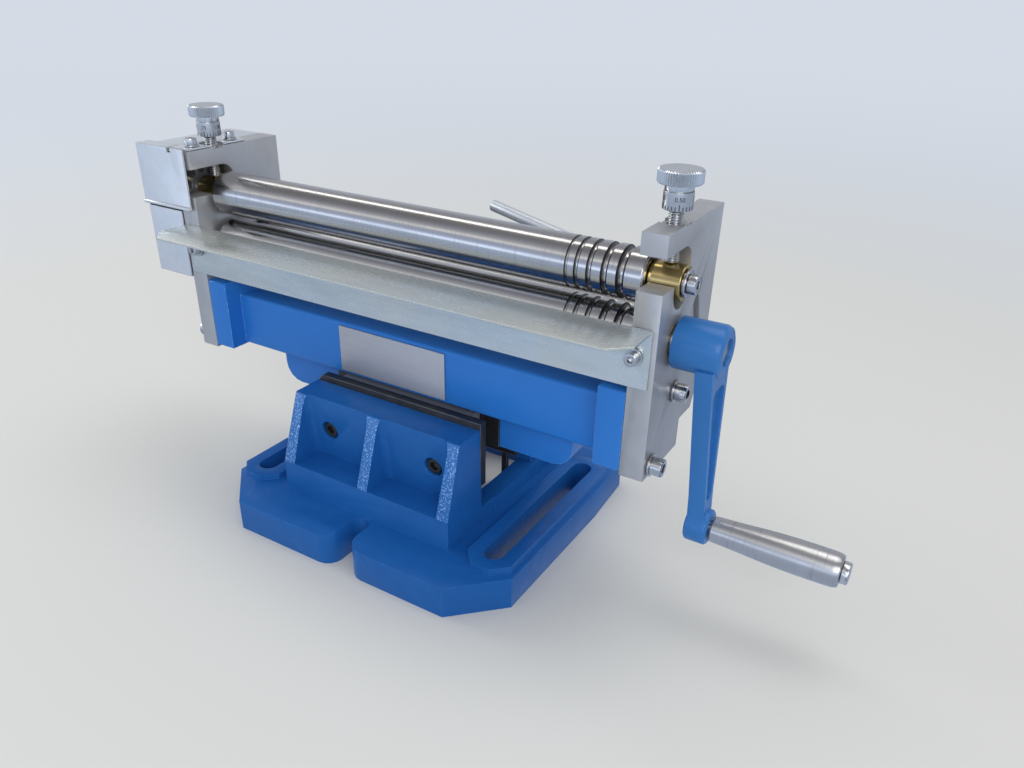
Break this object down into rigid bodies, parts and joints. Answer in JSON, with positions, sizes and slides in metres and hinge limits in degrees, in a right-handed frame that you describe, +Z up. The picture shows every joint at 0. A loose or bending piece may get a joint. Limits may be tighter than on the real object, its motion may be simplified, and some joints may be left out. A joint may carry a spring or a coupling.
{
  "type": "slip roll machine",
  "caption": "Hand-cranked three-roll sheet bending machine clamped in the jaws of a slotted vise base, with adjusting knobs, infeed tray and gear cover.",
  "frame": {"origin": "on the bench, midway between the end plates, on the web under the middle of the base", "axes": "+X along the rolls towards the crank, +Y to the back, +Z up"},
  "size_m": [0.4712, 0.2205, 0.2445],
  "materials": {
    "base_casting": "gloss machine blue with a light orange-peel texture",
    "front_jaw_plate": "black oxide",
    "jaw_plate_screw_left": "black oxide",
    "jaw_plate_screw_right": "black oxide",
    "packing_block": "ground steel",
    "boss_pad": "black oxide",
    "body_casting": "gloss machine blue with a light orange-peel texture",
    "name_plate": "bare satin silver plate",
    "left_end_plate": "ground steel",
    "right_end_plate": "ground steel",
    "upper_plate_screw_left": "bright zinc plating",
    "lower_plate_screw_left": "bright zinc plating",
    "upper_plate_screw_right": "bright zinc plating",
    "lower_plate_screw_right": "bright zinc plating",
    "infeed_tray": "zinc-plated sheet with faint blue and yellow tints",
    "tray_screw_left": "bright zinc plating",
    "tray_screw_right": "bright zinc plating",
    "gear_cover": "zinc-plated sheet with faint blue and yellow tints",
    "guard_flap": "zinc-plated sheet with faint blue and yellow tints",
    "keeper_strip": "zinc-plated sheet with faint blue and yellow tints",
    "keeper_screw_front": "bright zinc plating",
    "keeper_screw_back": "bright zinc plating",
    "lower_roll": "finely turned and polished steel",
    "lower_bush_left": "turned brass",
    "lower_bush_right": "turned brass",
    "drive_gear": "ground steel",
    "drive_gear_screw": "bright zinc plating",
    "crank_arm": "gloss machine blue with a light orange-peel texture",
    "crank_grub_screw": "black oxide",
    "handle_sleeve": "finely turned and polished steel",
    "handle_screw": "bright zinc plating",
    "upper_bush_left": "turned brass",
    "upper_bush_right": "turned brass",
    "upper_roll": "finely turned and polished steel",
    "upper_gear": "ground steel",
    "upper_gear_screw": "bright zinc plating",
    "roll_end_washer": "bright zinc plating",
    "roll_end_screw": "bright zinc plating",
    "adjusting_screw_left": "bright zinc plating",
    "dial_collar_left": "bright zinc plating",
    "knob_left": "bright zinc plating",
    "lift_spring_left": "spring steel",
    "adjusting_screw_right": "bright zinc plating",
    "dial_collar_right": "bright zinc plating",
    "knob_right": "bright zinc plating",
    "lift_spring_right": "spring steel",
    "rear_roll": "finely turned and polished steel",
    "rear_saddle_left": "turned brass",
    "rear_set_screw_left": "black oxide",
    "rear_saddle_right": "turned brass",
    "rear_set_screw_right": "black oxide",
    "lock_screw": "ground steel",
    "lever_hub": "ground steel",
    "lever_rod": "ground steel",
    "rear_jaw_plate": "black oxide",
    "moving_jaw": "gloss machine blue with a light orange-peel texture",
    "jaw_guide_plate": "black oxide",
    "clamp_spindle": "ground steel",
    "spindle_pin": "ground steel"
  },
  "bodies": {
    "frame": {"base_casting": "base_casting", "front_jaw_plate": "front_jaw_plate", "jaw_plate_screw_left": "jaw_plate_screw_left", "jaw_plate_screw_right": "jaw_plate_screw_right", "packing_block": "packing_block", "boss_pad": "boss_pad", "body_casting": "body_casting", "name_plate": "name_plate", "left_end_plate": "left_end_plate", "right_end_plate": "right_end_plate", "upper_plate_screw_left": "upper_plate_screw_left", "lower_plate_screw_left": "lower_plate_screw_left", "upper_plate_screw_right": "upper_plate_screw_right", "lower_plate_screw_right": "lower_plate_screw_right", "infeed_tray": "infeed_tray", "tray_screw_left": "tray_screw_left", "tray_screw_right": "tray_screw_right", "gear_cover": "gear_cover", "guard_flap": "guard_flap", "keeper_strip": "keeper_strip", "keeper_screw_front": "keeper_screw_front", "keeper_screw_back": "keeper_screw_back", "lower_bush_left": "lower_bush_left", "lower_bush_right": "lower_bush_right", "lift_spring_left": "lift_spring_left", "lift_spring_right": "lift_spring_right"},
    "crank": {"lower_roll": "lower_roll", "drive_gear": "drive_gear", "drive_gear_screw": "drive_gear_screw", "crank_arm": "crank_arm", "crank_grub_screw": "crank_grub_screw", "handle_screw": "handle_screw"},
    "handle": {"handle_sleeve": "handle_sleeve"},
    "upper_carriage": {"upper_bush_left": "upper_bush_left", "upper_bush_right": "upper_bush_right"},
    "upper_roller": {"upper_roll": "upper_roll", "upper_gear": "upper_gear", "upper_gear_screw": "upper_gear_screw", "roll_end_washer": "roll_end_washer", "roll_end_screw": "roll_end_screw"},
    "knob_set_right": {"adjusting_screw_right": "adjusting_screw_right", "dial_collar_right": "dial_collar_right", "knob_right": "knob_right"},
    "knob_set_left": {"adjusting_screw_left": "adjusting_screw_left", "dial_collar_left": "dial_collar_left", "knob_left": "knob_left"},
    "rear_carriage": {"rear_saddle_left": "rear_saddle_left", "rear_saddle_right": "rear_saddle_right"},
    "rear_roller": {"rear_roll": "rear_roll"},
    "rear_screw_right": {"rear_set_screw_right": "rear_set_screw_right"},
    "rear_screw_left": {"rear_set_screw_left": "rear_set_screw_left"},
    "lock_lever": {"lock_screw": "lock_screw", "lever_hub": "lever_hub", "lever_rod": "lever_rod"},
    "moving_jaw": {"moving_jaw": "moving_jaw", "rear_jaw_plate": "rear_jaw_plate", "jaw_guide_plate": "jaw_guide_plate", "spindle_pin": "spindle_pin"},
    "spindle": {"clamp_spindle": "clamp_spindle"}
  },
  "joints": [
    {"name": "crank_spin", "type": "hinge", "parent": "frame", "child": "crank", "pos_m": [0, -0.006, 0.16], "axis": [1, 0, 0], "continuous": true},
    {"name": "handle_spin", "type": "hinge", "parent": "crank", "child": "handle", "pos_m": [0.234, -0.006, 0.0575], "axis": [1, 0, 0], "continuous": true},
    {"name": "upper_roll_lift", "type": "slide", "parent": "frame", "child": "upper_carriage", "axis": [0, 0, 1], "range_m": [-0.0029, 0.002], "deforming": ["lift_spring_left", "lift_spring_right"]},
    {"name": "right_knob_turn", "type": "hinge", "parent": "upper_carriage", "child": "knob_set_right", "pos_m": [0.15925, -0.006, 0.22], "axis": [0, 0, 1], "range_deg": [-836, 577]},
    {"name": "left_knob_turn", "type": "hinge", "parent": "upper_carriage", "child": "knob_set_left", "pos_m": [-0.15925, -0.006, 0.22], "axis": [0, 0, 1], "range_deg": [-836, 577]},
    {"name": "upper_roll_spin", "type": "hinge", "parent": "upper_carriage", "child": "upper_roller", "pos_m": [0, -0.006, 0.1907], "axis": [1, 0, 0], "continuous": true},
    {"name": "rear_roll_lift", "type": "slide", "parent": "frame", "child": "rear_carriage", "axis": [0, -0.3322, 0.9432], "range_m": [0, 0.022]},
    {"name": "rear_roll_spin", "type": "hinge", "parent": "rear_carriage", "child": "rear_roller", "pos_m": [0, 0.0274, 0.1516], "axis": [1, 0, 0], "continuous": true},
    {"name": "right_rear_screw_turn", "type": "hinge", "parent": "rear_carriage", "child": "rear_screw_right", "pos_m": [0.15925, 0.0274, 0.1516], "axis": [0, -0.3322, 0.9432], "range_deg": [0, 7921]},
    {"name": "left_rear_screw_turn", "type": "hinge", "parent": "rear_carriage", "child": "rear_screw_left", "pos_m": [-0.15925, 0.0274, 0.1516], "axis": [0, -0.3322, 0.9432], "range_deg": [0, 7921]},
    {"name": "lock_lever_turn", "type": "hinge", "parent": "frame", "child": "lock_lever", "pos_m": [0.15725, 0.0496, 0.1655], "axis": [0, 1, 0], "range_deg": [0, 90]},
    {"name": "jaw_slide", "type": "slide", "parent": "frame", "child": "moving_jaw", "axis": [0, 1, 0], "range_m": [0, 0.02]},
    {"name": "spindle_turn", "type": "hinge", "parent": "moving_jaw", "child": "spindle", "pos_m": [0, 0.07, 0.025], "axis": [0, 1, 0], "range_deg": [0, 1801]}
  ],
  "couplings": [
    {"joint": "upper_roll_spin", "follows": "crank_spin", "ratio": -1},
    {"joint": "right_knob_turn", "follows": "upper_roll_lift", "rad_per_m": 5026.5},
    {"joint": "left_knob_turn", "follows": "upper_roll_lift", "rad_per_m": 5026.5},
    {"joint": "right_rear_screw_turn", "follows": "rear_roll_lift", "rad_per_m": 6283.2},
    {"joint": "left_rear_screw_turn", "follows": "rear_roll_lift", "rad_per_m": 6283.2},
    {"joint": "spindle_turn", "follows": "jaw_slide", "rad_per_m": 1570.8}
  ]
}
